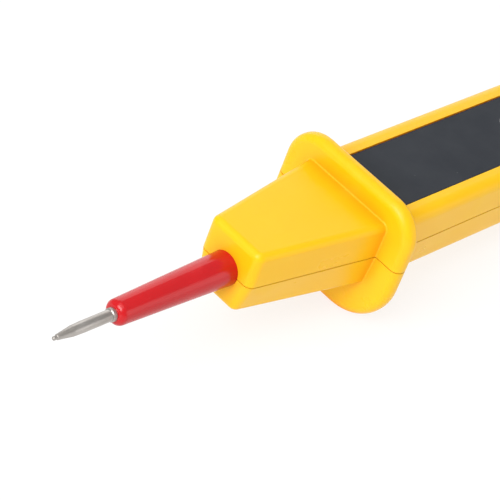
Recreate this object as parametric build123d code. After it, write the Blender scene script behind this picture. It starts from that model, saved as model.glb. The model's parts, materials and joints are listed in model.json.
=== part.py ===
from build123d import *
import math
import os

# Voltage tester with a contact pin and a non-contact mode: a slim yellow housing in two halves around a
# finger guard. The origin is on the probe's axis, where the bare pin leaves its collar. +X runs along the
# probe to its tip, +Z to the label side, and +Y to the user's left. All lengths are in millimetres.

os.makedirs("parts", exist_ok=True)

# ---- probe pin and its insulating sleeve
PIN_RADIUS = 1.3
PIN_STRAIGHT = 7.5
PIN_NECK = (10.3, 1.2)
PIN_CONE = (14.4, 0.62)
PIN_NUB_RADIUS = 0.45
PIN_NUB_CHAMFER = 0.2
PIN_NUB_STEP = 0.15
PIN_TIP_X = 15.5
COLLAR_RADIUS = 1.55
COLLAR_LENGTH = 1.0
COLLAR_CHAMFER = 0.15
SLEEVE_LENGTH = 32.6
SLEEVE_FRONT_RADIUS = 2.9
SLEEVE_ROOT_RADIUS = 4.0
SLEEVE_SHOULDER = 1.5
SLEEVE_TAIL = 10.4
SLEEVE_FLANGE_RADIUS = 5.0
SLEEVE_FLANGE_LENGTH = 2.0
SLEEVE_PLAY = 0.02
SLEEVE_RIB_THICKNESS = 1.5
SLEEVE_RIB_SINK = 0.35
PIN_HEAD = (1.5, 2.2)
PIN_LUG = (2.0, 0.8)

# ---- housing: nose, guard and handle, all split at z = 0
TOP_Z = 8.9
WALL = 2.0
NOSE_LENGTH = 35.4
NOSE_FRONT_HALF = 7.6
NOSE_ROOT_HALF = 12.7
NOSE_FRONT_BOTTOM_HALF = 5.7
NOSE_ROOT_BOTTOM_HALF = 12.1
NOSE_FRONT_BOTTOM_Z = -8.3
NOSE_ROOT_BOTTOM_Z = -8.8
NOSE_FRONT_WALL = 2.5
NOSE_CORNER = 2.0
NOSE_EDGE = 1.6
NOSE_BOTTOM_EDGE = 1.7
NOSE_INTO_GUARD = 1.5
GUARD_THICKNESS = 3.8
GUARD_HALF = 19.35
GUARD_TOP_Z = 14.5
GUARD_BOTTOM_Z = -19.3
GUARD_TOP_CORNER = 8.6
GUARD_BOTTOM_CORNER = 13.4
GUARD_FRONT_RIM = 2.0
GUARD_REAR_RIM = 1.3
GUARD_ROOT_FILLET = 0.4
HANDLE_LENGTH = 129.7
HANDLE_HALF = 13.5
HANDLE_BOTTOM_HALF = 12.8
HANDLE_BOTTOM_Z = -9.0
HANDLE_EDGE = 2.6
HANDLE_INTO_GUARD = 1.3
TAIL_CORNER = 5.0
SEAM_HALF_GAP = 0.15
SEAM_DEPTH = 0.4
CAVITY_TOP_Z = 6.7
CAVITY_BOTTOM_Z = -7.0
CAVITY_CORNER = 2.0
LIP_THICKNESS = 0.7
LIP_HEIGHT = 1.0
LIP_ROOT_Z = -2.0
RIB_THICKNESS = 1.2

# ---- label panel, lens and switch on the upper face
PANEL_HALF = 9.0
PANEL_GAP = 0.28
PANEL_THICKNESS = 0.7
PANEL_RECESS = 0.9
PANEL_SETBACK = 1.4
PANEL_TAIL_MARGIN = 6.5
PANEL_CORNER = 1.2
LENS_OFFSET = 54.7
LENS_RADIUS = 2.25
LENS_FLANGE_RADIUS = 3.0
LENS_FLANGE_THICKNESS = 0.95
LENS_PROUD = 0.9
SWITCH_OFFSET = 68.2
SWITCH_TRAVEL = 6.0
KNOB_LENGTH = 9.0
KNOB_WIDTH = 7.0
KNOB_HEIGHT = 2.1
KNOB_RIDGES = 5
KNOB_RIDGE_PITCH = 1.5
KNOB_RIDGE_GROOVE = (0.7, 0.5)
KNOB_FLANGE = (8.8, 8.0, 0.9)
KNOB_CORNER = 1.5
KNOB_EDGE = 0.5
KNOB_SHY = 0.1
STEM_LENGTH = 5.0
STEM_WIDTH = 4.0
SLOT_CLEARANCE = 0.3
SLOT_CORNER = 1.0
KNOB_WINDOW = (17.0, 9.0)
KNOB_WINDOW_CORNER = 2.0
LEVER_LENGTH = 2.5
LEVER_WIDTH = 1.5
LEVER_FOOT_WIDTH = 2.6
LEVER_FOOT_Z = (1.6, 2.3)
LEVER_PLAY = 0.2
SWITCH_CASE = (14.0, 5.2, 3.4)
SWITCH_LEG_RADIUS = 0.4
SWITCH_LEG_PITCH = 2.5
SWITCH_LEG_REACH = 1.2

# ---- board and the parts on it; offsets run from the board's front edge towards the tail
PCB_TOP_Z = 0.8
PCB_THICKNESS = 1.2
PCB_HALF = 10.4
PCB_FRONT_GAP = 4.0
PCB_LENGTH = 72.4
PCB_NOTCH = (7.0, 5.2)
PCB_HOLE_PLAY = 0.2
PCB_MARGIN = 0.2
BUZZER_RADIUS = 6.0
BUZZER_HEIGHT = 5.8
BUZZER_OFFSET = 32.0
BUZZER_EDGE = 0.6
BUZZER_PORT_RADIUS = 1.2
SOUND_HOLE_RADIUS = 0.7
SOUND_HOLE_RING = 3.0
CHIP_OFFSET = 17.0
CHIP_SIZE = (5.0, 4.0, 1.45)
CHIP_STANDOFF = 0.15
CHIP_LEG_PITCH = 1.27
CHIP_LEG_REACH = 3.1
CHIP_LEG_HALF = 0.2
CHIP_LEG_THICKNESS = 0.25
CHIP_LEG_TOP = 0.8
RESISTOR_OFFSET = 14.0
RESISTOR_PITCH = 3.4
RESISTOR_ROW_Y = 6.2
RESISTOR_SIZE = (2.0, 1.24, 0.5)
CAPACITOR_OFFSET = 33.0
CAPACITOR_Y = 4.6
CAPACITOR_RADIUS = 2.0
CAPACITOR_HEIGHT = 5.2
CAPACITOR_EDGE = 0.4
TRANSISTOR_OFFSET = 41.0
TRANSISTOR_RADIUS = 2.3
TRANSISTOR_FLAT = 1.1
TRANSISTOR_Z = (0.9, 5.0)
LED_RADIUS = 1.5
LED_COLLAR = (1.9, 1.2)
LED_TOP_Z = 5.4
ANTENNA_HALF = 2.5
ANTENNA_THICKNESS = 0.3
ANTENNA_FOOT = 3.0
ANTENNA_TOP_Z = 5.4
ANTENNA_SETBACK = 0.5
ANTENNA_GAP = 3.0
PROBE_LEAD_RADIUS = 0.6
PROBE_LEAD_BEND = 8.0
TOUCH_LEAD_RADIUS = 0.5
TOUCH_LEAD_BEND = 2.0
TOUCH_LEAD_YZ = (10.95, 5.8)
LEAD_NOTCH_Y = (9.3, 11.8)
LEAD_PASSAGE = (8.6, 11.6, 4.4)

# ---- battery compartment, two AAA cells lying side by side
CELL_RADIUS = 5.25
CELL_LENGTH = 44.5
CELL_NUB = (1.9, 1.0)
CELL_EDGE = 0.4
CELL_Y = 5.45
CELL_Z = -1.4
CELL_PLAY = 0.15
CONTACT_THICKNESS = 0.4
CONTACT_HALF = 4.0
TAB_HALF = 1.3
TAB_ROOM = (0.3, 0.5)
TAB_REACH = 2.4
LINK_HALF_HEIGHT = 3.6
SPRING_LENGTH = 3.0
SPRING_WIRE = 0.3
SPRING_RADIUS = 2.6
SPRING_TURNS = 3
PARTITION_THICKNESS = 1.2
DOOR_HALF = 10.0
DOOR_TONGUE = 1.0
DOOR_GAP = 0.15
DOOR_TONGUE_Z = (-8.2, -7.6)
DOOR_FRONT_INSET = 3.3
GRIP_OFFSET = 9.0
GRIP_HALF = 6.5
GRIP_DEPTH = 0.5
GRIP_RIBS = 6
GRIP_PITCH = 2.0
GRIP_CORNER = 3.0
MARK_OFFSET = 25.0
MARK_SIZE = (4.0, 2.4)
MARK_DEPTH = 0.3

# ---- fasteners and the touch stud
SCREW_RADIUS = 1.0
SCREW_HEAD_RADIUS = 1.9
SCREW_HEAD_HEIGHT = 1.5
SCREW_SEAT_Z = -4.5
SCREW_LENGTH = 8.4
SCREW_CROSS_WIDTH = 0.5
SCREW_HOLE_PLAY = 0.15
BOSS_RADIUS = 2.3
SEAT_BOSS_RADIUS = 3.0
SEAT_BORE_RADIUS = 2.2
PILOT_EXTRA = 0.4
PCB_SCREW_RADIUS = 0.9
PCB_SCREW_LENGTH = 5.0
PCB_SCREW_HEAD = (1.7, 1.1)
PCB_BOSS_RADIUS = 2.0
PCB_SCREW_OFFSET = 5.2
PCB_SCREW_Y = 7.4
TOUCH_Z = 3.6
TOUCH_RADIUS = 3.0
TOUCH_SHANK_RADIUS = 1.4
TOUCH_PROUD = 0.7
TOUCH_SEAT_DEPTH = 0.8

# ---- working allowances
PICK = 0.01
FIT = 0.05
SINK = 0.5
OVERRUN = 1.0
BIG = 60.0

# ---- stations along the axis, worked out from the lengths above
SLEEVE_X = -COLLAR_LENGTH
NOSE_X = SLEEVE_X - SLEEVE_LENGTH
GUARD_X = NOSE_X - NOSE_LENGTH
HANDLE_X = GUARD_X - GUARD_THICKNESS
TAIL_X = HANDLE_X - HANDLE_LENGTH
NOSE_CAVITY_X = NOSE_X - NOSE_FRONT_WALL
FLANGE_X = NOSE_CAVITY_X - SLEEVE_FLANGE_LENGTH
SLEEVE_TAIL_X = NOSE_X - SLEEVE_TAIL
PIN_END_X = SLEEVE_TAIL_X - PIN_HEAD[0] - PIN_LUG[0]
NOSE_END_X = GUARD_X - NOSE_INTO_GUARD
HANDLE_START_X = GUARD_X - HANDLE_INTO_GUARD
PCB_X = HANDLE_X - PCB_FRONT_GAP
PCB_END_X = PCB_X - PCB_LENGTH
PARTITION_X = PCB_END_X - 1.0
CONTACT_X = PARTITION_X - PARTITION_THICKNESS
PLATE_X = CONTACT_X - CONTACT_THICKNESS
LINK_X = PLATE_X - SPRING_LENGTH - CELL_LENGTH
TAIL_INNER_X = LINK_X - CONTACT_THICKNESS - 0.1
DOOR_X = CONTACT_X - DOOR_FRONT_INSET
LENS_X = HANDLE_X - LENS_OFFSET
SWITCH_X = HANDLE_X - SWITCH_OFFSET
KNOB_X = SWITCH_X - SWITCH_TRAVEL / 2
BUZZER_X = HANDLE_X - BUZZER_OFFSET
PANEL_X = HANDLE_X - PANEL_SETBACK
PANEL_END_X = TAIL_X + PANEL_TAIL_MARGIN
PANEL_Z = TOP_Z - PANEL_RECESS
KNOB_FLANGE_Z = CAVITY_TOP_Z - KNOB_SHY
PCB_BOTTOM_Z = PCB_TOP_Z - PCB_THICKNESS
PCB_SCREW_X = PCB_X - PCB_SCREW_OFFSET
NOSE_BOSS = (GUARD_X + 11.0, 6.3)
MID_BOSS = (PCB_END_X + 3.3, 8.1)
SWITCH_LEGS = [SWITCH_X + SWITCH_LEG_PITCH * step for step in (-1.5, -0.5, 0.5, 1.5)]
NOSE_FRONT_DRAFT = (NOSE_FRONT_HALF - NOSE_FRONT_BOTTOM_HALF) / -NOSE_FRONT_BOTTOM_Z
NOSE_ROOT_DRAFT = (NOSE_ROOT_HALF - NOSE_ROOT_BOTTOM_HALF) / -NOSE_ROOT_BOTTOM_Z
HANDLE_DRAFT = math.degrees(math.atan((HANDLE_HALF - HANDLE_BOTTOM_HALF) / -HANDLE_BOTTOM_Z))


# ---- shape helpers
def block(x0, x1, y0, y1, z0, z1):
    """A box between two corners."""
    centre = Pos((x0 + x1) / 2, (y0 + y1) / 2, (z0 + z1) / 2)
    return centre * Box(abs(x1 - x0), abs(y1 - y0), abs(z1 - z0))


def bar(x0, x1, half, z0, z1):
    """A box centred on y = 0."""
    return block(x0, x1, -half, half, z0, z1)


def rod_x(x0, x1, radius, y=0.0, z=0.0):
    """A cylinder along X."""
    return Pos((x0 + x1) / 2, y, z) * Rot(0, 90, 0) * Cylinder(radius, abs(x1 - x0))


def rod_z(x, y, z0, z1, radius):
    """A cylinder along Z."""
    return Pos(x, y, (z0 + z1) / 2) * Cylinder(radius, abs(z1 - z0))


def slab(x0, x1, half, z0, z1, corner):
    """A plate centred on y = 0 with rounded corners in plan."""
    plate = RectangleRounded(abs(x1 - x0), 2 * half, corner)
    return extrude(Pos((x0 + x1) / 2, 0, z0) * plate, z1 - z0)


def both_sides(shape):
    """The shape and its mirror image across y = 0."""
    return shape + mirror(shape, Plane.XZ)


def upper_half(shape):
    return shape & block(TAIL_X - OVERRUN, 0, -BIG, BIG, 0, BIG)


def lower_half(shape):
    return shape & block(TAIL_X - OVERRUN, 0, -BIG, BIG, -BIG, 0)


# ---- outer envelope of the two halves
def nose_half(x):
    """Half width of the nose at the seam, at a station."""
    share = (NOSE_X - x) / NOSE_LENGTH
    return NOSE_FRONT_HALF + (NOSE_ROOT_HALF - NOSE_FRONT_HALF) * share


def nose_plan(x0, x1, half0, half1, z):
    """Trapezium at height z, from station x0 to x1 with its own half width at each end."""
    corners = [(x0, half0), (x0, -half0), (x1, -half1), (x1, half1)]
    return Pos(0, 0, z) * make_face(Polyline(corners, close=True))


def nose_outline(front_half, root_half, z):
    """The nose's plan at height z, run a little into the guard, with rounded front corners."""
    face = nose_plan(NOSE_X, NOSE_END_X, front_half, root_half, z)
    return fillet(face.vertices().filter_by(lambda v: abs(v.X - NOSE_X) < PICK), NOSE_CORNER)


def outer_rim(nose, lowest):
    """The edges that run around the nose's outer face, open at the guard."""
    return nose.edges().filter_by(lambda e: abs(e.center().Z) > lowest and e.center().X > GUARD_X - 1
                                  and e.bounding_box().size.Z < 2)


def nose_upper():
    nose = extrude(nose_outline(NOSE_FRONT_HALF, nose_half(NOSE_END_X), 0), TOP_Z, dir=(0, 0, 1))
    return fillet(outer_rim(nose, TOP_Z - PICK), NOSE_EDGE)


def nose_lower():
    """Drafted lower half whose underside falls slightly from the front to the guard."""
    depth = -NOSE_ROOT_BOTTOM_Z + OVERRUN
    root_half = nose_half(NOSE_END_X)
    at_seam = nose_outline(NOSE_FRONT_HALF, root_half, 0)
    at_base = nose_outline(NOSE_FRONT_HALF - NOSE_FRONT_DRAFT * depth,
                           root_half - NOSE_ROOT_DRAFT * depth, -depth)
    fall = math.degrees(math.atan((NOSE_FRONT_BOTTOM_Z - NOSE_ROOT_BOTTOM_Z) / NOSE_LENGTH))
    below = Pos(NOSE_X, 0, NOSE_FRONT_BOTTOM_Z) * Rot(0, -fall, 0) * Box(
        4 * NOSE_LENGTH, BIG, BIG, align=(Align.CENTER, Align.CENTER, Align.MAX))
    nose = loft([at_seam, at_base], ruled=True) - below
    return fillet(outer_rim(nose, -NOSE_FRONT_BOTTOM_Z - 0.5), NOSE_BOTTOM_EDGE)


def guard():
    """Finger guard: a rounded plate with a deeper lobe below, a full front rim and a tighter rear one."""
    outline = Polyline([(GUARD_HALF, GUARD_TOP_Z), (-GUARD_HALF, GUARD_TOP_Z),
                        (-GUARD_HALF, GUARD_BOTTOM_Z), (GUARD_HALF, GUARD_BOTTOM_Z)], close=True)
    face = make_face(outline)
    face = fillet(face.vertices().filter_by(lambda v: v.Y > 0), GUARD_TOP_CORNER)
    face = fillet(face.vertices().filter_by(lambda v: abs(v.Y - GUARD_BOTTOM_Z) < PICK), GUARD_BOTTOM_CORNER)
    across = Plane(origin=(HANDLE_X, 0, 0), x_dir=(0, 1, 0), z_dir=(1, 0, 0))
    plate = extrude(across * face, GUARD_THICKNESS)
    for station, radius in ((GUARD_X, GUARD_FRONT_RIM), (HANDLE_X, GUARD_REAR_RIM)):
        plate = fillet(plate.edges().filter_by(lambda e: e.bounding_box().size.X < PICK
                                               and abs(e.center().X - station) < PICK), radius)
    return plate


def handle_block(z_outer, taper):
    """One half of the handle, drafted towards its outer face, with a rounded tail."""
    plan = Pos((HANDLE_START_X + TAIL_X) / 2, 0) * Rectangle(HANDLE_START_X - TAIL_X, 2 * HANDLE_HALF)
    plan = fillet(plan.vertices().filter_by(lambda v: v.X < TAIL_X + PICK), TAIL_CORNER)
    solid = extrude(plan, abs(z_outer), dir=(0, 0, math.copysign(1, z_outer)), taper=taper)
    rim = solid.edges().filter_by(lambda e: abs(e.center().Z - z_outer) < PICK and e.center().X < HANDLE_X)
    return fillet(rim, HANDLE_EDGE)


def soften_guard_roots(half):
    """Rounds the inner corners where nose and handle meet the guard's two faces."""
    for station in (GUARD_X, HANDLE_X):
        roots = half.edges().filter_by(
            lambda e: abs(e.center().X - station) < PICK and e.bounding_box().size.X < PICK
            and abs(e.center().Y) < HANDLE_HALF + PICK and PICK < abs(e.center().Z) < -HANDLE_BOTTOM_Z + PICK)
        half = fillet(roots, GUARD_ROOT_FILLET)
    return half


UPPER = soften_guard_roots(nose_upper() + upper_half(guard()) + handle_block(TOP_Z, 0))
LOWER = soften_guard_roots(nose_lower() + lower_half(guard()) + handle_block(HANDLE_BOTTOM_Z, HANDLE_DRAFT))


# ---- hollow interior shared by the two halves
def nose_cavity():
    depth = -NOSE_FRONT_BOTTOM_Z - WALL
    front_half = nose_half(NOSE_CAVITY_X) - WALL
    root_half = NOSE_ROOT_HALF - WALL
    mid = nose_plan(NOSE_CAVITY_X, NOSE_END_X, front_half, root_half, 0)
    base = nose_plan(NOSE_CAVITY_X, NOSE_END_X, front_half - NOSE_FRONT_DRAFT * depth,
                     root_half - NOSE_ROOT_DRAFT * depth, -depth)
    return extrude(mid, CAVITY_TOP_Z, dir=(0, 0, 1)) + loft([mid, base], ruled=True)


def handle_cavity():
    upper = slab(GUARD_X - SINK, TAIL_INNER_X, HANDLE_HALF - WALL, -PICK, CAVITY_TOP_Z, CAVITY_CORNER)
    lower = slab(GUARD_X - SINK, TAIL_INNER_X, HANDLE_BOTTOM_HALF - WALL, CAVITY_BOTTOM_Z, 0, CAVITY_CORNER)
    return upper + lower


def seam_groove():
    """The fine groove that runs around the housing where the halves meet."""
    section = make_face(UPPER.faces().filter_by(Axis.Z).sort_by(Axis.Z)[0].outer_wire())
    outside = offset(section, OVERRUN, kind=Kind.INTERSECTION)
    inside = offset(section, -SEAM_DEPTH, kind=Kind.INTERSECTION)
    height = 2 * SEAM_HALF_GAP
    ring = extrude(outside, height, dir=(0, 0, 1)) - extrude(inside, height, dir=(0, 0, 1))
    return Pos(0, 0, -SEAM_HALF_GAP) * ring


CAVITY = nose_cavity() + handle_cavity()
GROOVE = seam_groove()
SLEEVE_BORE = rod_x(NOSE_X + OVERRUN, SLEEVE_TAIL_X, SLEEVE_ROOT_RADIUS + SLEEVE_PLAY)


def sleeve_rib():
    """Wall behind the sleeve's flange that keeps it from moving back."""
    half = nose_half(FLANGE_X) - WALL + SLEEVE_RIB_SINK
    rib_x = FLANGE_X - 2 * FIT
    return bar(rib_x, rib_x - SLEEVE_RIB_THICKNESS, half, CAVITY_BOTTOM_Z + SINK, CAVITY_TOP_Z + SINK)


def partition():
    """Wall between the electronics and the cells."""
    return bar(PARTITION_X, CONTACT_X, HANDLE_BOTTOM_HALF - 0.8, CAVITY_BOTTOM_Z - SINK, CAVITY_TOP_Z + SINK)


def cell_ribs():
    """Curved ribs in the upper half that hold the cells down, notched for the touch lead."""
    ribs = Part()
    for share in (0.25, 0.5, 0.75):
        x = CONTACT_X + (LINK_X - CONTACT_X) * share
        ribs += bar(x - RIB_THICKNESS / 2, x + RIB_THICKNESS / 2, HANDLE_HALF - WALL + SINK,
                    LIP_HEIGHT + SINK, CAVITY_TOP_Z + SINK)
    low_y, high_y = LEAD_NOTCH_Y
    for side in (-1, 1):
        ribs -= rod_x(CONTACT_X, LINK_X, CELL_RADIUS + CELL_PLAY, side * CELL_Y, CELL_Z)
        ribs -= block(CONTACT_X, LINK_X, side * low_y, side * high_y, 0, CAVITY_TOP_Z + SINK)
    return ribs


def knob_slot():
    half = (STEM_LENGTH + SWITCH_TRAVEL) / 2 + SLOT_CLEARANCE
    return slab(SWITCH_X - half, SWITCH_X + half, STEM_WIDTH / 2 + SLOT_CLEARANCE,
                CAVITY_TOP_Z - OVERRUN, TOP_Z + OVERRUN, SLOT_CORNER)


def partition_passages():
    """Notches in the partition for the touch lead and for the tabs of the front contacts."""
    x0, x1 = PARTITION_X + OVERRUN, CONTACT_X - OVERRUN
    low_y, high_y, low_z = LEAD_PASSAGE
    lead = block(x0, x1, low_y, high_y, low_z, CAVITY_TOP_Z)
    room_y, room_z = TAB_ROOM
    tab = block(x0, x1, CELL_Y - TAB_HALF - room_y, CELL_Y + TAB_HALF + room_y, 0, PCB_TOP_Z + room_z)
    return both_sides(lead + tab)


def top_shell():
    shell = UPPER - CAVITY
    shell += upper_half(sleeve_rib()) + upper_half(partition()) + cell_ribs()
    shell -= SLEEVE_BORE
    for x, y in (NOSE_BOSS, MID_BOSS):
        shell += both_sides(rod_z(x, y, 0, CAVITY_TOP_Z + SINK, BOSS_RADIUS))
        shell -= both_sides(rod_z(x, y, -0.1, SCREW_SEAT_Z + SCREW_LENGTH + PILOT_EXTRA, SCREW_RADIUS))
    shell += both_sides(rod_z(PCB_SCREW_X, PCB_SCREW_Y, PCB_TOP_Z, CAVITY_TOP_Z + SINK, PCB_BOSS_RADIUS))
    pilot_end = PCB_BOTTOM_Z + PCB_SCREW_LENGTH + PILOT_EXTRA
    shell -= both_sides(rod_z(PCB_SCREW_X, PCB_SCREW_Y, 0, pilot_end, PCB_SCREW_RADIUS))
    shell -= slab(PANEL_X + PANEL_GAP, PANEL_END_X - PANEL_GAP, PANEL_HALF + PANEL_GAP,
                  PANEL_Z, TOP_Z + OVERRUN, PANEL_CORNER)
    shell -= knob_slot()
    shell -= rod_z(LENS_X, 0, CAVITY_TOP_Z - OVERRUN, TOP_Z + OVERRUN, LENS_RADIUS + FIT)
    shell -= rod_x(TAIL_X - OVERRUN, TAIL_INNER_X + OVERRUN, TOUCH_SHANK_RADIUS + 2 * FIT, 0, TOUCH_Z)
    shell -= rod_x(TAIL_X - OVERRUN, TAIL_X + TOUCH_SEAT_DEPTH, TOUCH_RADIUS + FIT, 0, TOUCH_Z)
    return shell - partition_passages() - GROOVE


def seam_lip():
    """Low inner wall on the lower half that locates the upper one."""
    outer = HANDLE_HALF - WALL - 2 * FIT
    lip = Part()
    for x0, x1 in ((PCB_X, PARTITION_X + SINK), (CONTACT_X - SINK, TAIL_INNER_X + CAVITY_CORNER)):
        lip += block(x0, x1, outer - LIP_THICKNESS, outer, LIP_ROOT_Z, LIP_HEIGHT)
        lip += block(x0, x1, outer - LIP_THICKNESS, outer + 0.6, LIP_ROOT_Z, -0.1)
    return both_sides(lip)


def sound_holes():
    """Seven small holes under the buzzer: one in the middle and six around it."""
    centres = [(0, 0)]
    for k in range(6):
        angle = math.radians(60 * k)
        centres.append((SOUND_HOLE_RING * math.cos(angle), SOUND_HOLE_RING * math.sin(angle)))
    holes = Part()
    for dx, dy in centres:
        holes += rod_z(BUZZER_X + dx, dy, HANDLE_BOTTOM_Z - OVERRUN, CAVITY_BOTTOM_Z + OVERRUN,
                       SOUND_HOLE_RADIUS)
    return holes


def board_space():
    """The board with a little room around it, which the screw bosses stay out of."""
    length, inner_y = PCB_NOTCH
    space = bar(PCB_X + PCB_MARGIN, PCB_END_X + PCB_MARGIN, PCB_HALF + PCB_MARGIN, PCB_BOTTOM_Z - 0.1, 0)
    notch = block(PCB_END_X - OVERRUN, PCB_END_X + length - PCB_MARGIN, inner_y + PCB_MARGIN, BIG, -BIG, BIG)
    return space - both_sides(notch)


def bottom_shell():
    shell = LOWER - CAVITY
    shell += lower_half(sleeve_rib()) + lower_half(partition()) + seam_lip()
    shell -= SLEEVE_BORE
    for (x, y), floor_z in ((NOSE_BOSS, NOSE_FRONT_BOTTOM_Z), (MID_BOSS, HANDLE_BOTTOM_Z + SINK)):
        shell += both_sides(rod_z(x, y, floor_z, 0, SEAT_BOSS_RADIUS) - board_space())
        shell -= both_sides(rod_z(x, y, -BIG, 0.1, SCREW_RADIUS + SCREW_HOLE_PLAY))
        shell -= both_sides(rod_z(x, y, -BIG, SCREW_SEAT_Z, SEAT_BORE_RADIUS))
    return shell - sound_holes() - door_profile(DOOR_GAP) - GROOVE


# ---- battery door
def door_profile(gap):
    """The door's cross-section run along its travel: a plate with a thin tongue down each side."""
    end_x = TAIL_X - OVERRUN
    plate = bar(DOOR_X + gap, end_x, DOOR_HALF + gap, HANDLE_BOTTOM_Z - OVERRUN, CAVITY_BOTTOM_Z + gap)
    low, high = DOOR_TONGUE_Z
    return plate + bar(DOOR_X + gap, end_x, DOOR_HALF + DOOR_TONGUE + gap, low - gap, high + gap)


def grip_pocket():
    """Shallow pocket with ribs left standing across it."""
    start_x = TAIL_X + GRIP_OFFSET
    pocket = slab(start_x, start_x + GRIP_RIBS * GRIP_PITCH + 1, GRIP_HALF,
                  HANDLE_BOTTOM_Z - OVERRUN, HANDLE_BOTTOM_Z + GRIP_DEPTH, GRIP_CORNER)
    for k in range(GRIP_RIBS):
        x = start_x + 1.6 + GRIP_PITCH * k
        pocket -= bar(x, x + GRIP_PITCH / 2, BIG, HANDLE_BOTTOM_Z - OVERRUN, HANDLE_BOTTOM_Z + OVERRUN)
    return pocket


def slide_mark():
    """Shallow triangle that points the way the door slides off."""
    tip_x = TAIL_X + MARK_OFFSET
    length, half = MARK_SIZE
    face = make_face(Polyline([(tip_x, 0), (tip_x + length, half), (tip_x + length, -half)], close=True))
    return extrude(Pos(0, 0, HANDLE_BOTTOM_Z - OVERRUN) * face, OVERRUN + MARK_DEPTH, dir=(0, 0, 1))


def battery_door():
    return (LOWER & door_profile(0)) - grip_pocket() - slide_mark()


# ---- probe
def probe_pin():
    """Turned pin: solder lug and head behind the sleeve, collar, straight, long cone and blunt nub."""
    head_x = SLEEVE_TAIL_X - PIN_HEAD[0]
    points = [(PIN_END_X, 0), (PIN_END_X, PIN_LUG[1]), (head_x, PIN_LUG[1]), (head_x, PIN_HEAD[1]),
              (SLEEVE_TAIL_X, PIN_HEAD[1]), (SLEEVE_TAIL_X, PIN_RADIUS), (SLEEVE_X, PIN_RADIUS),
              (SLEEVE_X, COLLAR_RADIUS), (-COLLAR_CHAMFER, COLLAR_RADIUS),
              (0, COLLAR_RADIUS - COLLAR_CHAMFER), (0, PIN_RADIUS), (PIN_STRAIGHT, PIN_RADIUS), PIN_NECK,
              PIN_CONE, (PIN_CONE[0] + PIN_NUB_STEP, PIN_NUB_RADIUS),
              (PIN_TIP_X - PIN_NUB_CHAMFER, PIN_NUB_RADIUS),
              (PIN_TIP_X, PIN_NUB_RADIUS - PIN_NUB_CHAMFER), (PIN_TIP_X, 0)]
    return revolve(Plane.XZ * make_face(Polyline(points, close=True)), Axis.X)


def probe_sleeve():
    """Tapered sleeve with a rounded front shoulder and a flange that the nose traps."""
    flange_front_x = NOSE_CAVITY_X - FIT
    outline = Polyline([(SLEEVE_X, PIN_RADIUS), (SLEEVE_X, SLEEVE_FRONT_RADIUS), (NOSE_X, SLEEVE_ROOT_RADIUS),
                        (flange_front_x, SLEEVE_ROOT_RADIUS), (flange_front_x, SLEEVE_FLANGE_RADIUS),
                        (FLANGE_X, SLEEVE_FLANGE_RADIUS), (FLANGE_X, SLEEVE_ROOT_RADIUS),
                        (SLEEVE_TAIL_X, SLEEVE_ROOT_RADIUS), (SLEEVE_TAIL_X, PIN_RADIUS)], close=True)
    face = make_face(outline)
    shoulder = face.vertices().filter_by(lambda v: abs(v.X - SLEEVE_X) < PICK and v.Y > PIN_RADIUS + PICK)
    return revolve(Plane.XZ * fillet(shoulder, SLEEVE_SHOULDER), Axis.X)


# ---- upper face
def label_panel():
    panel = slab(PANEL_X, PANEL_END_X, PANEL_HALF, PANEL_Z, PANEL_Z + PANEL_THICKNESS, PANEL_CORNER)
    length, width = KNOB_WINDOW
    panel -= slab(SWITCH_X - length / 2, SWITCH_X + length / 2, width / 2,
                  PANEL_Z - OVERRUN, TOP_Z + OVERRUN, KNOB_WINDOW_CORNER)
    return panel - rod_z(LENS_X, 0, PANEL_Z - OVERRUN, TOP_Z + OVERRUN, LENS_RADIUS + 2 * FIT)


def led_lens():
    """Domed light guide, held from below by its flange."""
    top_z = PANEL_Z + PANEL_THICKNESS + LENS_PROUD
    lens = rod_z(LENS_X, 0, CAVITY_TOP_Z - 2 * FIT, top_z, LENS_RADIUS)
    lens = fillet(lens.edges().sort_by(Axis.Z)[-1], LENS_PROUD)
    flange_z = CAVITY_TOP_Z - FIT
    return lens + rod_z(LENS_X, 0, flange_z - LENS_FLANGE_THICKNESS, flange_z, LENS_FLANGE_RADIUS)


def led():
    radius, height = LED_COLLAR
    body = rod_z(LENS_X, 0, PCB_TOP_Z + SINK, LED_TOP_Z, LED_RADIUS)
    body = fillet(body.edges().sort_by(Axis.Z)[-1], LED_RADIUS - 0.2)
    return body + rod_z(LENS_X, 0, PCB_TOP_Z, PCB_TOP_Z + height, radius)


def switch_knob():
    """Thumb slider at the tail end of its travel: ridged cap, stem through the slot and retaining flange."""
    base_z = PANEL_Z + KNOB_SHY
    top_z = base_z + KNOB_HEIGHT
    cap = slab(KNOB_X - KNOB_LENGTH / 2, KNOB_X + KNOB_LENGTH / 2, KNOB_WIDTH / 2, base_z, top_z, KNOB_CORNER)
    cap = fillet(cap.edges().group_by(Axis.Z)[-1], KNOB_EDGE)
    width, depth = KNOB_RIDGE_GROOVE
    for k in range(KNOB_RIDGES):
        x = KNOB_X + KNOB_RIDGE_PITCH * (k - (KNOB_RIDGES - 1) / 2)
        cap -= bar(x - width / 2, x + width / 2, KNOB_WIDTH, top_z - depth, top_z + 1)
    length, flange_width, thickness = KNOB_FLANGE
    knob = cap + slab(KNOB_X - STEM_LENGTH / 2, KNOB_X + STEM_LENGTH / 2, STEM_WIDTH / 2,
                      KNOB_FLANGE_Z - 1, base_z + SINK, 0.8)
    knob += slab(KNOB_X - length / 2, KNOB_X + length / 2, flange_width / 2,
                 KNOB_FLANGE_Z - thickness, KNOB_FLANGE_Z, 1.0)
    socket = bar(KNOB_X - LEVER_LENGTH / 2 - FIT, KNOB_X + LEVER_LENGTH / 2 + FIT, LEVER_WIDTH / 2 + FIT,
                 KNOB_FLANGE_Z - 2, KNOB_FLANGE_Z + 0.6)
    return knob - socket


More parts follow.
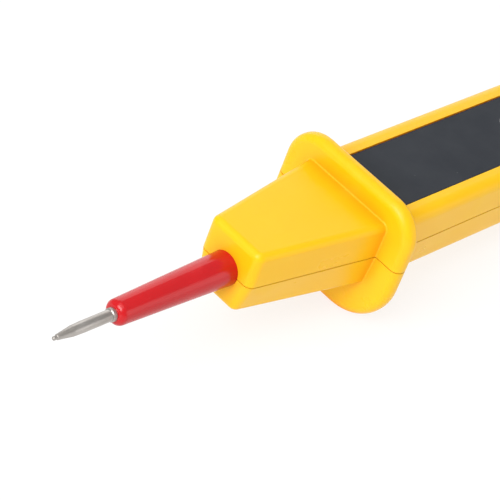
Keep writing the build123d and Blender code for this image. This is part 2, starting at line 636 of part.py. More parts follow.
def switch_slider():
    """Lever that the knob grips, with a wider foot that runs inside the switch's case."""
    x0, x1 = KNOB_X - LEVER_LENGTH / 2, KNOB_X + LEVER_LENGTH / 2
    foot_z, neck_z = LEVER_FOOT_Z
    lever = bar(x0, x1, LEVER_WIDTH / 2, PCB_TOP_Z + neck_z - 0.1, CAVITY_TOP_Z + 0.2)
    return lever + bar(x0, x1, LEVER_FOOT_WIDTH / 2, PCB_TOP_Z + foot_z, PCB_TOP_Z + neck_z)


def switch_body():
    """Case of the slide switch, with the channel its lever runs in and its solder legs."""
    length, width, height = SWITCH_CASE
    body = bar(SWITCH_X - length / 2, SWITCH_X + length / 2, width / 2, PCB_TOP_Z, PCB_TOP_Z + height)
    reach = (SWITCH_TRAVEL + LEVER_LENGTH) / 2 + LEVER_PLAY
    x0, x1 = SWITCH_X - reach, SWITCH_X + reach
    foot_z, neck_z = LEVER_FOOT_Z
    body -= bar(x0, x1, LEVER_FOOT_WIDTH / 2 + LEVER_PLAY,
                PCB_TOP_Z + foot_z - LEVER_PLAY, PCB_TOP_Z + neck_z + LEVER_PLAY)
    body -= bar(x0, x1, LEVER_WIDTH / 2 + LEVER_PLAY, PCB_TOP_Z + neck_z, PCB_TOP_Z + BIG)
    for x in SWITCH_LEGS:
        body += rod_z(x, 0, PCB_BOTTOM_Z - SWITCH_LEG_REACH, PCB_TOP_Z + 0.2, SWITCH_LEG_RADIUS)
    return body


# ---- board and components
def pcb():
    board = bar(PCB_X, PCB_END_X, PCB_HALF, PCB_BOTTOM_Z, PCB_TOP_Z)
    length, inner_y = PCB_NOTCH
    board -= both_sides(block(PCB_END_X - OVERRUN, PCB_END_X + length, inner_y, BIG, -BIG, BIG))
    board -= both_sides(rod_z(PCB_SCREW_X, PCB_SCREW_Y, -BIG, BIG, PCB_SCREW_RADIUS + PCB_HOLE_PLAY))
    for x in SWITCH_LEGS:
        board -= rod_z(x, 0, -BIG, BIG, SWITCH_LEG_RADIUS + FIT)
    return board


def buzzer():
    low_z = PCB_BOTTOM_Z - BUZZER_HEIGHT
    can = rod_z(BUZZER_X, 0, low_z, PCB_BOTTOM_Z, BUZZER_RADIUS)
    can = fillet(can.edges().sort_by(Axis.Z)[0], BUZZER_EDGE)
    return can - rod_z(BUZZER_X, 0, low_z - 1, low_z + 1, BUZZER_PORT_RADIUS)


def control_chip():
    """Small-outline package with four legs on each side."""
    length, width, height = CHIP_SIZE
    x = PCB_X - CHIP_OFFSET
    base_z = PCB_TOP_Z + CHIP_STANDOFF
    chip = bar(x - length / 2, x + length / 2, width / 2, base_z, base_z + height)
    for step in (-1.5, -0.5, 0.5, 1.5):
        leg_x = x + step * CHIP_LEG_PITCH
        x0, x1 = leg_x - CHIP_LEG_HALF, leg_x + CHIP_LEG_HALF
        chip += both_sides(block(x0, x1, width / 2 - 0.1, CHIP_LEG_REACH,
                                 PCB_TOP_Z, PCB_TOP_Z + CHIP_LEG_THICKNESS))
        chip += both_sides(block(x0, x1, width / 2 - 0.1, width / 2 + 0.2,
                                 PCB_TOP_Z, PCB_TOP_Z + CHIP_LEG_TOP))
    return chip


def resistors():
    """Chip resistors in two rows of four."""
    length, width, height = RESISTOR_SIZE
    group = []
    for row in (-RESISTOR_ROW_Y, RESISTOR_ROW_Y):
        for k in range(4):
            x = PCB_X - RESISTOR_OFFSET - RESISTOR_PITCH * k
            group.append(block(x - length / 2, x + length / 2, row - width / 2, row + width / 2,
                               PCB_TOP_Z, PCB_TOP_Z + height))
    return Compound(children=group)


def capacitors():
    """Two small electrolytic cans standing on the board."""
    cans = []
    for side in (-1, 1):
        can = rod_z(PCB_X - CAPACITOR_OFFSET, side * CAPACITOR_Y, PCB_TOP_Z, PCB_TOP_Z + CAPACITOR_HEIGHT,
                    CAPACITOR_RADIUS)
        cans.append(fillet(can.edges().sort_by(Axis.Z)[-1], CAPACITOR_EDGE))
    return Compound(children=cans)


def transistor():
    """Round-backed package with a flat face, standing on three short legs."""
    x = PCB_X - TRANSISTOR_OFFSET
    low, high = TRANSISTOR_Z
    body = rod_z(x, 0, PCB_TOP_Z + low, PCB_TOP_Z + high, TRANSISTOR_RADIUS)
    body -= block(x - BIG, x - TRANSISTOR_FLAT, -BIG, BIG, 0, BIG)
    for k in (-1, 0, 1):
        y = k * CHIP_LEG_PITCH
        body += block(x - CHIP_LEG_HALF, x + CHIP_LEG_HALF, y - CHIP_LEG_HALF, y + CHIP_LEG_HALF,
                      PCB_TOP_Z, PCB_TOP_Z + low + 0.3)
    return body


def antenna():
    """Sensing strip bent up from the board and run forwards under the nose's roof."""
    bend_x = PCB_X - ANTENNA_SETBACK
    inner_x = bend_x - ANTENNA_THICKNESS
    under_z = ANTENNA_TOP_Z - ANTENNA_THICKNESS
    strip = bar(bend_x - ANTENNA_FOOT, bend_x, ANTENNA_HALF, PCB_TOP_Z, PCB_TOP_Z + ANTENNA_THICKNESS)
    strip += bar(inner_x, bend_x, ANTENNA_HALF, PCB_TOP_Z, ANTENNA_TOP_Z)
    return strip + bar(inner_x, FLANGE_X - ANTENNA_GAP, ANTENNA_HALF, under_z, ANTENNA_TOP_Z)


def wire(points, radius, bend):
    """An insulated lead along straight runs joined by arcs."""
    path = FilletPolyline(*points, radius=bend)
    start = Plane(origin=path @ 0, z_dir=path % 0)
    return sweep(start * Circle(radius), path)


def probe_lead():
    """From the pin's lug back along the axis, then up onto the board."""
    end_z = PCB_TOP_Z + PROBE_LEAD_RADIUS + FIT
    points = [(PIN_END_X - 0.1, 0, 0), (GUARD_X + 10, 0, 0), (GUARD_X - 2, 0, end_z), (PCB_X - 0.4, 0, end_z)]
    return wire(points, PROBE_LEAD_RADIUS, PROBE_LEAD_BEND)


def touch_lead():
    """From the stud's shank, along the side of the cells, and down onto the board."""
    y, z = TOUCH_LEAD_YZ
    start_x = TAIL_INNER_X + 0.7
    points = [(start_x, TOUCH_SHANK_RADIUS + 0.1, TOUCH_Z), (start_x, y, z), (MID_BOSS[0] + 6, y, z),
              (MID_BOSS[0] + 12, 7.5, PCB_TOP_Z + TOUCH_LEAD_RADIUS + 0.1)]
    return wire(points, TOUCH_LEAD_RADIUS, TOUCH_LEAD_BEND)


# ---- cells and contacts
def cell(nub_x, end_x, y):
    """A AAA cell from the face of its positive nub to its flat negative end."""
    radius, height = CELL_NUB
    step = math.copysign(height, end_x - nub_x)
    can = rod_x(nub_x + step, end_x, CELL_RADIUS, y, CELL_Z)
    can = fillet(can.edges().filter_by(GeomType.CIRCLE), CELL_EDGE)
    return can + rod_x(nub_x, nub_x + step * 1.5, radius, y, CELL_Z)


def battery_left():
    """Negative end on the front spring."""
    return cell(LINK_X, LINK_X + CELL_LENGTH, CELL_Y)


def battery_right():
    """Positive nub on the front plate."""
    return cell(PLATE_X, PLATE_X - CELL_LENGTH, -CELL_Y)


def coil(x0, y):
    """Spring wire wound between a contact plate and a cell's negative end."""
    height = SPRING_LENGTH - 2 * SPRING_WIRE - 2 * FIT
    helix = Helix(pitch=height / SPRING_TURNS, height=height, radius=SPRING_RADIUS)
    start = Plane(origin=helix @ 0, z_dir=helix % 0)
    turn = sweep(start * Circle(SPRING_WIRE), helix)
    return Pos(x0 + SPRING_WIRE + FIT, y, CELL_Z) * Rot(0, 90, 0) * turn


def battery_springs():
    return Compound(children=[coil(PLATE_X - SPRING_LENGTH, CELL_Y), coil(LINK_X, -CELL_Y)])


def front_contacts():
    """Two plates on the partition, each with a tab that reaches the board."""
    plates = []
    for y in (-CELL_Y, CELL_Y):
        plate = block(PLATE_X, CONTACT_X, y - CONTACT_HALF, y + CONTACT_HALF,
                      CELL_Z - CONTACT_HALF, CELL_Z + CONTACT_HALF)
        tab = block(PLATE_X, PARTITION_X + TAB_REACH, y - TAB_HALF, y + TAB_HALF,
                    PCB_TOP_Z, PCB_TOP_Z + CONTACT_THICKNESS)
        plates.append(plate + tab)
    return Compound(children=plates)


def tail_link_plate():
    return bar(LINK_X - CONTACT_THICKNESS, LINK_X, CELL_Y + CONTACT_HALF,
               CELL_Z - LINK_HALF_HEIGHT, CELL_Z + LINK_HALF_HEIGHT)


# ---- fasteners and the touch stud
def screw(x, y, seat_z, radius, length, head_radius, head_height):
    """A cross-recess screw driven upwards, its head below seat_z."""
    shank = rod_z(x, y, seat_z - 0.2, seat_z + length, radius)
    shank = chamfer(shank.edges().sort_by(Axis.Z)[-1], radius * 0.6)
    head = rod_z(x, y, seat_z - head_height, seat_z, head_radius)
    head = fillet(head.edges().sort_by(Axis.Z)[0], head_height * 0.45)
    reach, depth = head_radius * 1.3, head_height
    cross = Box(reach, SCREW_CROSS_WIDTH, depth) + Box(SCREW_CROSS_WIDTH, reach, depth)
    return head + shank - Pos(x, y, seat_z - head_height) * cross


def housing_screws():
    group = []
    for x, y in (NOSE_BOSS, MID_BOSS):
        for side in (-1, 1):
            group.append(screw(x, side * y, SCREW_SEAT_Z, SCREW_RADIUS, SCREW_LENGTH,
                               SCREW_HEAD_RADIUS, SCREW_HEAD_HEIGHT))
    return Compound(children=group)


def pcb_screws():
    group = [screw(PCB_SCREW_X, side * PCB_SCREW_Y, PCB_BOTTOM_Z, PCB_SCREW_RADIUS, PCB_SCREW_LENGTH,
                   *PCB_SCREW_HEAD) for side in (-1, 1)]
    return Compound(children=group)


def touch_electrode():
    """Plated stud in the tail, held by its shank through the wall."""
    seat_x = TAIL_X + TOUCH_SEAT_DEPTH
    stud = rod_x(TAIL_X - TOUCH_PROUD, seat_x - FIT, TOUCH_RADIUS, 0, TOUCH_Z)
    stud = fillet(stud.edges().filter_by(GeomType.CIRCLE).sort_by(Axis.X)[0], TOUCH_PROUD - FIT)
    return stud + rod_x(TAIL_X, TAIL_INNER_X + 1.6, TOUCH_SHANK_RADIUS, 0, TOUCH_Z)


PIECES = [probe_pin, probe_sleeve, top_shell, bottom_shell, label_panel, led_lens, led, switch_knob,
          switch_slider, switch_body, pcb, buzzer, control_chip, resistors, capacitors, transistor, antenna,
          probe_lead, touch_lead, battery_left, battery_right, battery_springs, front_contacts,
          tail_link_plate, battery_door, housing_screws, pcb_screws, touch_electrode]

for piece in PIECES:
    export_step(piece(), f"parts/{piece.__name__}.step")
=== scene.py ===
import bpy
import json
import math
from mathutils import Matrix, Vector


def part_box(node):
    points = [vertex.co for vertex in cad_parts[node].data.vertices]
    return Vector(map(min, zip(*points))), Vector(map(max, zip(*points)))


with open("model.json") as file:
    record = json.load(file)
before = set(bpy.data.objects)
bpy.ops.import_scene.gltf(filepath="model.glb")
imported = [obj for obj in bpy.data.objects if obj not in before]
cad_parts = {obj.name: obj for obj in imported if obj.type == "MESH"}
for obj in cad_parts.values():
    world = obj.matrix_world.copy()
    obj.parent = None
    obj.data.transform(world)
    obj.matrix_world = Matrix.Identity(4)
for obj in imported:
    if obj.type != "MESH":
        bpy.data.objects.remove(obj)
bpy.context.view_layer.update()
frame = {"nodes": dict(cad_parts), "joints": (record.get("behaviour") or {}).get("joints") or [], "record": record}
nodes = frame["nodes"]
scene = bpy.context.scene

# Looks of the voltage tester: camera, stage, light, and a procedural finish for every piece. Lengths are in
# metres, except where a name ends in mm.
MM = 0.001


def middle(node):
    """Centre of a CAD node's box."""
    low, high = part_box(node)
    return (low + high) / 2


# ---- camera: the photograph's direction, roll and lens, aimed through a point on the probe's axis
GUARD_FRONT = Vector((-69.0 * MM, 0, 0))
AZIMUTH = math.radians(122.36)
ELEVATION = math.radians(37.62)
ROLL = math.radians(21.56)
DISTANCE = 577.2 * MM
LENS_MM = 188.7
SENSOR_MM = 36.0
# how far the guard's front lies from the middle of the frame, in widths of the frame
AIM_RIGHT = 0.1714
AIM_UP = 0.0566


def make_camera():
    """Places the camera so that the guard's front lies right of and above the frame's middle."""
    back = Vector((math.sin(AZIMUTH) * math.cos(ELEVATION), -math.cos(AZIMUTH) * math.cos(ELEVATION),
                   math.sin(ELEVATION)))
    level_right = Vector((math.cos(AZIMUTH), math.sin(AZIMUTH), 0))
    level_up = back.cross(level_right)
    right = math.cos(ROLL) * level_right + math.sin(ROLL) * level_up
    up = math.cos(ROLL) * level_up - math.sin(ROLL) * level_right
    frame_width = DISTANCE * SENSOR_MM / LENS_MM
    data = bpy.data.cameras.new("camera")
    data.lens = LENS_MM
    data.sensor_width = SENSOR_MM
    data.clip_start = 0.01
    data.clip_end = 20
    camera = bpy.data.objects.new("camera", data)
    turn = Matrix((right, up, back)).transposed()
    place = GUARD_FRONT + back * DISTANCE - right * AIM_RIGHT * frame_width - up * AIM_UP * frame_width
    camera.matrix_world = Matrix.Translation(place) @ turn.to_4x4()
    scene.collection.objects.link(camera)
    scene.camera = camera


# ---- stage and light
GUARD_DEPTH = 3.8 * MM
FLOOR_HALF = 4.0
FLOOR_GAP = 0.3 * MM
FLOOR_GREY = (0.20, 0.20, 0.20, 1)
FLOOR_GLOW = 0.80
WHITE = (1, 1, 1, 1)
WORLD_STRENGTH = 0.5
LIGHT_DISTANCE = 1.0
# name, direction from the guard, size and power
SOFTBOXES = [("key", (0.30, 0.05, 0.95), 0.8, 2.6), ("front", (0.80, 0.05, 0.60), 0.6, 7.8),
             ("back", (-0.62, -0.72, 0.30), 0.9, 2.6), ("side", (-0.55, 0.80, 0.20), 0.6, 1.2)]


def make_floor():
    """A white floor under the guard's lobe and the slid-off battery door, so it leans a little along X."""
    guard_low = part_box("bottom_shell")[0].z
    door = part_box("battery_door")[0]
    travel = next(joint["range_m"][1] for joint in frame["joints"] if joint["name"] == "door_slide")
    guard_x = GUARD_FRONT.x - GUARD_DEPTH / 2
    lean = math.atan2(door.z - guard_low, guard_x - (door.x - travel))
    corners = [(x * FLOOR_HALF, y * FLOOR_HALF, 0) for x, y in ((-1, -1), (1, -1), (1, 1), (-1, 1))]
    mesh = bpy.data.meshes.new("floor")
    mesh.from_pydata(corners, [], [(0, 1, 2, 3)])
    floor = bpy.data.objects.new("floor", mesh)
    place = Matrix.Translation((guard_x, 0, guard_low - FLOOR_GAP))
    floor.matrix_world = place @ Matrix.Rotation(lean, 4, "Y")
    scene.collection.objects.link(floor)
    material = bpy.data.materials.new("floor_white")
    material.use_nodes = True
    shader = material.node_tree.nodes["Principled BSDF"]
    shader.inputs["Base Color"].default_value = FLOOR_GREY
    shader.inputs["Roughness"].default_value = 0.9
    shader.inputs["Specular IOR Level"].default_value = 0.1
    shader.inputs["Emission Color"].default_value = WHITE
    shader.inputs["Emission Strength"].default_value = FLOOR_GLOW
    mesh.materials.append(material)


def softbox(name, direction, size, power):
    """A square area light that looks at the guard from a direction."""
    data = bpy.data.lights.new(name, "AREA")
    data.shape = "SQUARE"
    data.size = size
    data.energy = power
    light = bpy.data.objects.new(name, data)
    away = Vector(direction).normalized()
    turn = away.to_track_quat("Z", "Y").to_matrix()
    light.matrix_world = Matrix.Translation(GUARD_FRONT + away * LIGHT_DISTANCE) @ turn.to_4x4()
    scene.collection.objects.link(light)


def make_light():
    """A white surround and the softboxes."""
    world = bpy.data.worlds.new("studio")
    world.use_nodes = True
    background = world.node_tree.nodes["Background"]
    background.inputs["Color"].default_value = WHITE
    background.inputs["Strength"].default_value = WORLD_STRENGTH
    scene.world = world
    for box in SOFTBOXES:
        softbox(*box)
    scene.view_settings.view_transform = "Standard"


# ---- material helpers: ranges that masks are cut from, a speck's size in its cell, and rays per shading
NOISE_MIDDLE = (0.3, 0.7)
EDGE_TURN = (0.995, 0.93)
CORNER_LIGHT = (0.92, 0.25)
SPECK_RADIUS = 0.10
BEVEL_SAMPLES = 6
CORNER_SAMPLES = 8


class Finish:
    """A Principled material whose colour, roughness and relief are built from a few textures."""

    def __init__(self, name, **sockets):
        self.material = bpy.data.materials.new(name)
        self.material.use_nodes = True
        self.tree = self.material.node_tree
        self.shader = self.tree.nodes["Principled BSDF"]
        self.place = self.node("ShaderNodeTexCoord").outputs["Object"]
        self.axes = None
        self.normal = None
        for key, value in sockets.items():
            self.shader.inputs[key.replace("_", " ")].default_value = value

    def node(self, kind, **settings):
        """A new node with some of its properties set."""
        made = self.tree.nodes.new(kind)
        for key, value in settings.items():
            setattr(made, key, value)
        return made

    def put(self, value, socket):
        """Links an output, or sets a number or colour."""
        if isinstance(value, bpy.types.NodeSocket):
            self.tree.links.new(value, socket)
        elif isinstance(value, tuple):
            socket.default_value = (*value, 1)
        else:
            socket.default_value = value

    def maths(self, operation, *values):
        """One operation on numbers or outputs."""
        made = self.node("ShaderNodeMath", operation=operation)
        for value, socket in zip(values, made.inputs):
            self.put(value, socket)
        return made.outputs[0]

    def noise(self, size_mm, detail=2.0, along=(1, 1, 1)):
        """Noise from 0 to 1 with features of about size_mm, longer where along is larger."""
        stretch = self.node("ShaderNodeMapping")
        stretch.inputs["Scale"].default_value = [1 / (size_mm * MM * a) for a in along]
        self.put(self.place, stretch.inputs["Vector"])
        made = self.node("ShaderNodeTexNoise")
        made.inputs["Scale"].default_value = 1.0
        made.inputs["Detail"].default_value = detail
        self.put(stretch.outputs["Vector"], made.inputs["Vector"])
        return made.outputs["Fac"]

    def specks(self, size_mm, share):
        """Small round dots, 1 inside, with about share of the cells of size_mm filled."""
        cells = self.node("ShaderNodeTexVoronoi")
        cells.inputs["Scale"].default_value = 1 / (size_mm * MM)
        self.put(self.place, cells.inputs["Vector"])
        tone = self.node("ShaderNodeSeparateColor")
        self.put(cells.outputs["Color"], tone.inputs["Color"])
        chosen = self.maths("LESS_THAN", tone.outputs[0], share)
        inside = self.maths("LESS_THAN", cells.outputs["Distance"], SPECK_RADIUS)
        return self.maths("MULTIPLY", inside, chosen)

    def spread(self, value, low, high, to_low=0.0, to_high=1.0):
        """Maps low..high to to_low..to_high, clamped."""
        made = self.node("ShaderNodeMapRange")
        for key, number in zip(("From Min", "From Max", "To Min", "To Max"), (low, high, to_low, to_high)):
            made.inputs[key].default_value = number
        self.put(value, made.inputs["Value"])
        return made.outputs["Result"]

    def varied(self, texture, low, high):
        """Maps the middle of a noise texture to low..high."""
        return self.spread(texture, *NOISE_MIDDLE, low, high)

    def blend(self, share, first, second):
        """A colour between two, by a share from 0 to 1."""
        made = self.node("ShaderNodeMix", data_type="RGBA")
        for value, socket in zip((share, first, second), (made.inputs[0], made.inputs[6], made.inputs[7])):
            self.put(value, socket)
        return made.outputs[2]

    def drift(self, size_mm, first, second, detail=3):
        """A colour that wanders between two."""
        return self.blend(self.varied(self.noise(size_mm, detail), 0.0, 1.0), first, second)

    def over(self, tone, mask, share, colour):
        """Lays a colour on a tone where the mask is, as strongly as share says."""
        return self.blend(self.maths("MULTIPLY", mask, share), tone, colour)

    def along(self, axis):
        """Object coordinate along axis 0, 1 or 2, in metres."""
        if self.axes is None:
            split = self.node("ShaderNodeSeparateXYZ")
            self.put(self.place, split.inputs[0])
            self.axes = split.outputs
        return self.axes[axis]

    def band(self, axis, centre, half):
        """1 within half of a station along one axis."""
        return self.maths("COMPARE", self.along(axis), centre, half)

    def patch(self, x, y, half_x, half_y):
        """1 inside a rectangle in plan."""
        return self.maths("MULTIPLY", self.band(0, x, half_x), self.band(1, y, half_y))

    def radius_from(self, axis_a, centre_a, axis_b, centre_b):
        """Distance from a line that runs across two axes."""
        squares = []
        for axis, centre in ((axis_a, centre_a), (axis_b, centre_b)):
            squares.append(self.maths("POWER", self.maths("SUBTRACT", self.along(axis), centre), 2.0))
        return self.maths("SQRT", self.maths("ADD", *squares))

    def dot(self, x, y, radius):
        """1 inside a circle in plan."""
        return self.maths("LESS_THAN", self.radius_from(0, x, 1, y), radius)

    def ring(self, x, y, radius, half_width):
        """1 on a circle in plan."""
        return self.maths("COMPARE", self.radius_from(0, x, 1, y), radius, half_width)

    def outline(self, x, y, half_x, half_y, width):
        """1 along the edge of a rectangle in plan."""
        inner = self.patch(x, y, half_x - width, half_y - width)
        return self.maths("SUBTRACT", self.patch(x, y, half_x, half_y), inner)

    def any_of(self, *masks):
        """1 where any of the masks is 1."""
        total = masks[0]
        for mask in masks[1:]:
            total = self.maths("MAXIMUM", total, mask)
        return total

    def soften(self, radius_mm):
        """Rounds sharp edges in the shading, and returns a mask that is 1 along them."""
        bevel = self.node("ShaderNodeBevel", samples=BEVEL_SAMPLES)
        bevel.inputs["Radius"].default_value = radius_mm * MM
        self.normal = bevel.outputs["Normal"]
        compare = self.node("ShaderNodeVectorMath", operation="DOT_PRODUCT")
        self.put(self.normal, compare.inputs[0])
        self.put(self.node("ShaderNodeNewGeometry").outputs["Normal"], compare.inputs[1])
        self.put(self.normal, self.shader.inputs["Normal"])
        return self.spread(compare.outputs["Value"], *EDGE_TURN)

    def crevice(self, distance_mm):
        """1 deep in an inner corner, 0 in the open, from ambient occlusion; the yellow shell uses it to mask
        painted shade in its colour and dust in its roughness.
        """
        shade = self.node("ShaderNodeAmbientOcclusion", samples=CORNER_SAMPLES)
        shade.inputs["Distance"].default_value = distance_mm * MM
        return self.spread(shade.outputs["AO"], *CORNER_LIGHT)

    def colour(self, value):
        self.put(value, self.shader.inputs["Base Color"])

    def roughness(self, value):
        self.put(value, self.shader.inputs["Roughness"])

    def bump(self, height, depth_mm, strength=1.0):
        """Adds relief of depth_mm on top of what is there."""
        made = self.node("ShaderNodeBump")
        made.inputs["Strength"].default_value = strength
        made.inputs["Distance"].default_value = depth_mm * MM
        self.put(height, made.inputs["Height"])
        if self.normal:
            self.put(self.normal, made.inputs["Normal"])
        self.normal = made.outputs["Normal"]
        self.put(self.normal, self.shader.inputs["Normal"])

    def scratches(self, size_mm, along, peaks, depth_mm, strength=0.5):
        """Adds hairlines where a stretched noise rises through the range peaks."""
        self.bump(self.spread(self.noise(size_mm, detail=1, along=along), *peaks), depth_mm, strength)


# ---- finishes: places of marks and bands, then one function for each material
SEAM_HALF = 0.17 * MM
DARKER_TIP_LENGTH = 5.0 * MM
SWITCH_STEP = 3.0 * MM
MARKS_Y = 5.9 * MM
OFF_RING = (0.75 * MM, 0.13 * MM)
LOW_DOT = 0.50 * MM
HIGH_DOT = 0.95 * MM
RULE_Y = 7.6 * MM
RULE_HALF = (5.2 * MM, 0.11 * MM)
LENS_RING = (3.4 * MM, 0.14 * MM)
OUTLINE_WIDTH = 0.15 * MM
OUTLINED = (("control_chip", 0.4 * MM), ("transistor", 0.5 * MM), ("switch_body", 0.4 * MM))
CAPACITOR_RADIUS = 2.0 * MM
CAPACITOR_RING = (2.5 * MM, 0.08 * MM)
CELL_METAL_RADIUS = 4.6 * MM
CELL_BAND = (8.0 * MM, 4.4 * MM)
CELL_RULE = (13.4 * MM, 0.35 * MM)


def moulded(name, light, dark, rough, grain_depth_mm=0.004, edge_mm=0.15):
    """Moulded plastic: slow colour drift, worn edges, fine grain, smears and hairline scratches."""
    finish = Finish(name)
    worn = finish.soften(edge_mm)
    tone = finish.drift(30, light, dark)
    pale = tuple(min(1.0, 0.85 * c + 0.02) for c in light)
    finish.colour(finish.over(tone, worn, 0.3, pale))
    finish.roughness(finish.varied(finish.noise(9, detail=4, along=(2.5, 1, 1)), rough - 0.04, rough + 0.08))
    finish.bump(finish.noise(0.35), grain_depth_mm)
    finish.scratches(0.5, (30, 1, 1), (0.72, 0.78), 0.004)
    return finish.material


def yellow_abs():
    """Warm yellow ABS with rub marks and specks, and painted shade: deeper orange in inner corners and a darker
    band along the seam groove.
    """
    finish = Finish("yellow_abs", IOR=1.5, Specular_IOR_Level=0.28, Subsurface_Weight=0.12,
                    Subsurface_Radius=(1.0, 0.4, 0.05), Subsurface_Scale=0.0025)
    worn = finish.soften(0.12)
    tone = finish.drift(26, (0.95, 0.535, 0.004), (0.94, 0.510, 0.003))
    inner = finish.crevice(5)
    # painted shade: the ambient-occlusion mask turns inner corners deep orange, where shadow falls
    tone = finish.over(tone, inner, 0.85, (0.90, 0.25, 0.001))
    rubbed = finish.spread(finish.noise(5, detail=6, along=(1.6, 1, 1)), 0.58, 0.72)
    tone = finish.over(tone, rubbed, 0.08, (0.95, 0.62, 0.06))
    rim = finish.maths("MULTIPLY", worn, finish.spread(inner, 0.0, 0.3, 1.0, 0.0))
    tone = finish.over(tone, rim, 0.35, (0.97, 0.58, 0.02))
    tone = finish.over(tone, finish.specks(1.1, 0.01), 0.15, (0.50, 0.26, 0.02))
    # painted shade: a darker band along the seam groove, where the groove lies in shadow
    tone = finish.blend(finish.band(2, 0.0, SEAM_HALF), tone, (0.82, 0.46, 0.01))
    finish.colour(tone)
    gloss = finish.varied(finish.noise(11, detail=5, along=(2, 1, 1)), 0.25, 0.38)
    dust = finish.maths("ADD", finish.maths("MULTIPLY", rubbed, 0.08), finish.maths("MULTIPLY", inner, 0.4))
    finish.roughness(finish.maths("ADD", gloss, dust))
    finish.bump(finish.noise(0.9), 0.010, 0.6)
    finish.bump(finish.noise(0.12, detail=1), 0.003, 0.5)
    finish.scratches(0.4, (26, 1, 4), (0.73, 0.78), 0.005)
    return finish.material


def red_pvc():
    """Glossy red insulation with faint flow lines round it and scuffs."""
    finish = Finish("red_pvc", IOR=1.5, Specular_IOR_Level=0.42, Subsurface_Weight=0.06,
                    Subsurface_Radius=(1.0, 0.1, 0.1), Subsurface_Scale=0.001)
    finish.soften(0.15)
    tone = finish.drift(14, (0.57, 0.005, 0.009), (0.50, 0.004, 0.007))
    scuffed = finish.spread(finish.noise(2.2, detail=6, along=(2, 1, 1)), 0.60, 0.72)
    finish.colour(finish.over(tone, scuffed, 0.12, (0.72, 0.06, 0.06)))
    finish.roughness(finish.varied(finish.noise(6, detail=4), 0.15, 0.25))
    finish.bump(finish.noise(0.8, along=(1, 8, 8)), 0.006, 0.6)
    finish.bump(finish.noise(0.15, detail=1), 0.003, 0.5)
    return finish.material


def pin_nickel():
    """Turned and plated pin: rings from the lathe, long rub marks, and a tip that turns darker and duller over its
    last few millimetres.
    """
    finish = Finish("pin_nickel", Metallic=1.0)
    finish.soften(0.06)
    stain = finish.spread(finish.noise(1.2, detail=5, along=(5, 1, 1)), 0.35, 0.65)
    tone = finish.blend(stain, (0.52, 0.49, 0.46), (0.40, 0.37, 0.34))
    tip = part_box("probe_pin")[1].x
    # darker and rougher over the last 5 mm towards the tip
    worn = finish.spread(finish.along(0), tip - DARKER_TIP_LENGTH, tip)
    finish.colour(finish.over(tone, worn, 0.35, (0.34, 0.32, 0.30)))
    dull = finish.varied(finish.noise(0.9, detail=4, along=(5, 1, 1)), 0.32, 0.50)
    finish.roughness(finish.maths("ADD", dull, finish.maths("MULTIPLY", worn, 0.10)))
    finish.bump(finish.noise(0.07, along=(1, 60, 60)), 0.004, 0.7)
    finish.scratches(0.25, (16, 1, 1), (0.66, 0.74), 0.004, 0.6)
    return finish.material


def plated(name, tint, rough, lines_along=(1, 1, 1)):
    """Plated metal with fine tool lines and a slightly stained film."""
    finish = Finish(name, Metallic=1.0)
    worn = finish.soften(0.08)
    stain = finish.spread(finish.noise(3, detail=4), 0.35, 0.75)
    tone = finish.blend(stain, tint, tuple(0.76 * c for c in tint))
    finish.colour(finish.over(tone, worn, 0.3, tuple(min(1.0, 1.15 * c) for c in tint)))
    finish.roughness(finish.varied(finish.noise(1.5, detail=3), rough - 0.05, rough + 0.1))
    finish.bump(finish.noise(0.12, along=lines_along), 0.003, 0.6)
    return finish.material


def printed_marks(finish):
    """A rule with a ring and two dots for the switch's positions, and a ring round the lens."""
    lens = middle("led_lens")
    knob = middle("switch_knob")
    off = finish.ring(knob.x, MARKS_Y, *OFF_RING)
    low = finish.dot(knob.x + SWITCH_STEP, MARKS_Y, LOW_DOT)
    high = finish.dot(knob.x + 2 * SWITCH_STEP, MARKS_Y, HIGH_DOT)
    rule = finish.patch(knob.x + SWITCH_STEP, RULE_Y, *RULE_HALF)
    halo = finish.ring(lens.x, lens.y, *LENS_RING)
    return finish.any_of(off, low, high, rule, halo)


def panel_film():
    """Dark grey printed film: fine texture, dust, a ring round the lens and marks for three positions."""
    finish = Finish("panel_film", IOR=1.45, Specular_IOR_Level=0.25)
    finish.soften(0.08)
    tone = finish.drift(22, (0.024, 0.028, 0.036), (0.020, 0.024, 0.031))
    tone = finish.over(tone, finish.specks(1.2, 0.03), 0.25, (0.30, 0.31, 0.32))
    finish.colour(finish.over(tone, printed_marks(finish), 0.9, (0.62, 0.63, 0.62)))
    finish.roughness(finish.varied(finish.noise(7, detail=5), 0.46, 0.60))
    finish.bump(finish.noise(0.16), 0.006, 0.8)
    return finish.material


def red_lens():
    """Cloudy red lens with fine polishing marks."""
    finish = Finish("lens_red", IOR=1.49, Transmission_Weight=0.35)
    finish.soften(0.1)
    finish.colour(finish.drift(2, (0.75, 0.02, 0.018), (0.60, 0.012, 0.012), detail=2))
    finish.roughness(finish.varied(finish.noise(1.2, detail=4), 0.10, 0.22))
    finish.bump(finish.noise(0.3), 0.003, 0.5)
    return finish.material


def clear_resin():
    """Slightly milky resin of the LED."""
    finish = Finish("led_resin", IOR=1.52, Transmission_Weight=0.6)
    finish.colour(finish.drift(1.5, (0.90, 0.87, 0.84), (0.84, 0.80, 0.77), detail=2))
    finish.roughness(finish.varied(finish.noise(0.8, detail=3), 0.12, 0.24))
    finish.bump(finish.noise(0.4), 0.003, 0.5)
    return finish.material


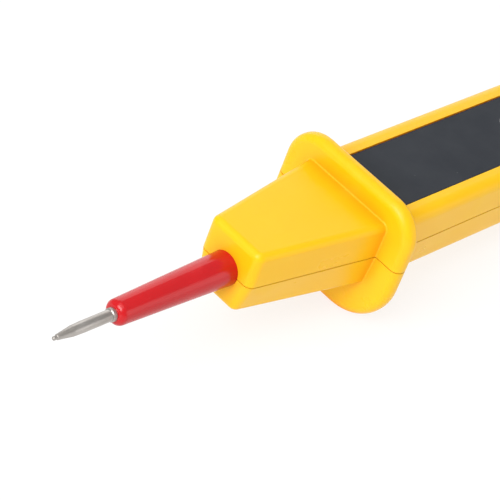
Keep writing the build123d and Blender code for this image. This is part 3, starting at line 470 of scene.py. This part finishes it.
def solder_mask():
    """Green mask, paler over the copper tracks, with white outlines round the parts."""
    finish = Finish("board_green", IOR=1.5)
    finish.soften(0.05)
    tracks = finish.maths("GREATER_THAN", finish.noise(1.6, detail=0, along=(6, 1, 1)), 0.54)
    tone = finish.blend(tracks, (0.012, 0.115, 0.045), (0.030, 0.20, 0.075))
    outlines = []
    for node, grow in OUTLINED:
        low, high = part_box(node)
        centre = (low + high) / 2
        half = (high - low) / 2
        outlines.append(finish.outline(centre.x, centre.y, half.x + grow, half.y + grow, OUTLINE_WIDTH))
    low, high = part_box("capacitors")
    for y in (low.y + CAPACITOR_RADIUS, high.y - CAPACITOR_RADIUS):
        outlines.append(finish.ring((low.x + high.x) / 2, y, *CAPACITOR_RING))
    finish.colour(finish.blend(finish.any_of(*outlines), tone, (0.75, 0.76, 0.72)))
    finish.roughness(finish.varied(finish.noise(3, detail=4), 0.24, 0.38))
    finish.bump(tracks, 0.03, 0.5)
    return finish.material


def cell_jacket(node, nub_side):
    """Printed cell jacket: a dark sleeve with a pale band and a rule by the nub, bare metal at both ends."""
    finish = Finish("cell_jacket_" + node, IOR=1.5)
    finish.soften(0.1)
    low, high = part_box(node)
    axis = (low + high) / 2
    nub_x = high.x if nub_side > 0 else low.x
    tone = finish.drift(12, (0.030, 0.060, 0.125), (0.022, 0.045, 0.100))
    for from_nub, half in (CELL_BAND, CELL_RULE):
        tone = finish.blend(finish.band(0, nub_x - nub_side * from_nub, half), tone, (0.60, 0.62, 0.64))
    out = finish.radius_from(1, axis.y, 2, axis.z)
    bare = finish.maths("LESS_THAN", out, CELL_METAL_RADIUS)
    finish.colour(finish.blend(bare, tone, (0.62, 0.61, 0.58)))
    finish.put(bare, finish.shader.inputs["Metallic"])
    finish.roughness(finish.varied(finish.noise(4, detail=4), 0.22, 0.34))
    finish.bump(finish.maths("GREATER_THAN", out, CELL_METAL_RADIUS), 0.05, 0.6)
    finish.bump(finish.noise(1.2, detail=3, along=(6, 1, 1)), 0.008, 0.6)
    return finish.material


def finishes_by_slot():
    """The material of every slot but the cells', which get one each."""
    black = moulded("knob_black", (0.022, 0.022, 0.024), (0.016, 0.016, 0.018), 0.42, grain_depth_mm=0.008)
    return {
        "yellow_shell": yellow_abs(),
        "red_sleeve": red_pvc(),
        "pin_plating": pin_nickel(),
        "panel_grey": panel_film(),
        "lens_red": red_lens(),
        "led_resin": clear_resin(),
        "knob_black": black,
        "buzzer_black": black,
        "switch_frame": plated("tinned_frame", (0.60, 0.60, 0.58), 0.34),
        "board_green": solder_mask(),
        "chip_black": moulded("epoxy_black", (0.018, 0.018, 0.019), (0.012, 0.012, 0.013), 0.55,
                              edge_mm=0.05),
        "resistor_body": moulded("resistor_glaze", (0.030, 0.030, 0.034), (0.05, 0.05, 0.055), 0.25,
                                 edge_mm=0.05),
        "capacitor_can": plated("can_aluminium", (0.66, 0.67, 0.70), 0.30, lines_along=(1, 1, 12)),
        "antenna_brass": plated("antenna_brass", (0.70, 0.50, 0.21), 0.30, lines_along=(30, 1, 1)),
        "lead_red": moulded("lead_red", (0.50, 0.014, 0.014), (0.43, 0.010, 0.010), 0.40, edge_mm=0.05),
        "lead_blue": moulded("lead_blue", (0.030, 0.085, 0.34), (0.022, 0.065, 0.29), 0.40, edge_mm=0.05),
        "spring_steel": plated("spring_steel", (0.62, 0.61, 0.58), 0.26),
        "contact_plate": plated("plated_strip", (0.70, 0.68, 0.63), 0.26, lines_along=(20, 1, 1)),
        "screw_steel": plated("screw_zinc", (0.56, 0.57, 0.58), 0.36),
        "touch_chrome": plated("touch_chrome", (0.72, 0.72, 0.72), 0.14)}


def dress():
    """Every CAD node gets the finish of its material slot."""
    by_slot = finishes_by_slot()
    for part in frame["record"]["subparts"]:
        node, slot = part["node"], part["material_slot"]
        if slot == "cell_wrap":
            material = cell_jacket(node, 1 if node == "battery_right" else -1)
        else:
            material = by_slot[slot]
        nodes[node].data.materials.clear()
        nodes[node].data.materials.append(material)


make_camera()
make_floor()
make_light()
dress()
